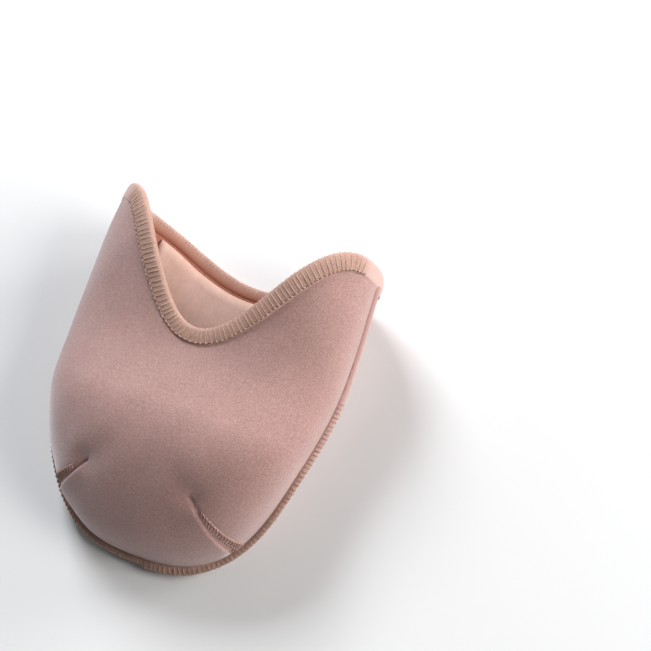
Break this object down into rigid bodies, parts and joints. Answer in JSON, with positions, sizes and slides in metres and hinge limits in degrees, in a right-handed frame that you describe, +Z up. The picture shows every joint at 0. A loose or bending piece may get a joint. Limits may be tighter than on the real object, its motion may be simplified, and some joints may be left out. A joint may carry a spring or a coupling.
{
  "type": "gel toe pad",
  "caption": "Soft toe pouch of knit-covered gel: domed front panel, flat sole panel, deep curved mouth with an overlocked edge, sewn side flange and toe darts.",
  "frame": {"origin": "centre of the bounding box's bottom, on the surface that the pad lies on", "axes": "+Z up from the sole panel through the front panel, +Y from the toe to the mouth, +X to the pad's right seen from above with the mouth up"},
  "size_m": [0.0886, 0.1014, 0.0419],
  "materials": {
    "front_knit": "fine matte knit, dusty pink",
    "back_knit": "fine matte knit, dusty pink",
    "gel": "soft satin gel, beige",
    "edging_thread": "overlocked thread, peach tan",
    "seam_thread": "overlocked thread, peach tan",
    "dart_thread": "overlocked thread, pink tan"
  },
  "bodies": {
    "root": {"front_panel": "front_knit", "back_panel": "back_knit", "gel_sheet": "gel", "mouth_edging": "edging_thread", "side_seam": "seam_thread", "dart_seam_right": "dart_thread", "dart_seam_left": "dart_thread"}
  },
  "joints": []
}
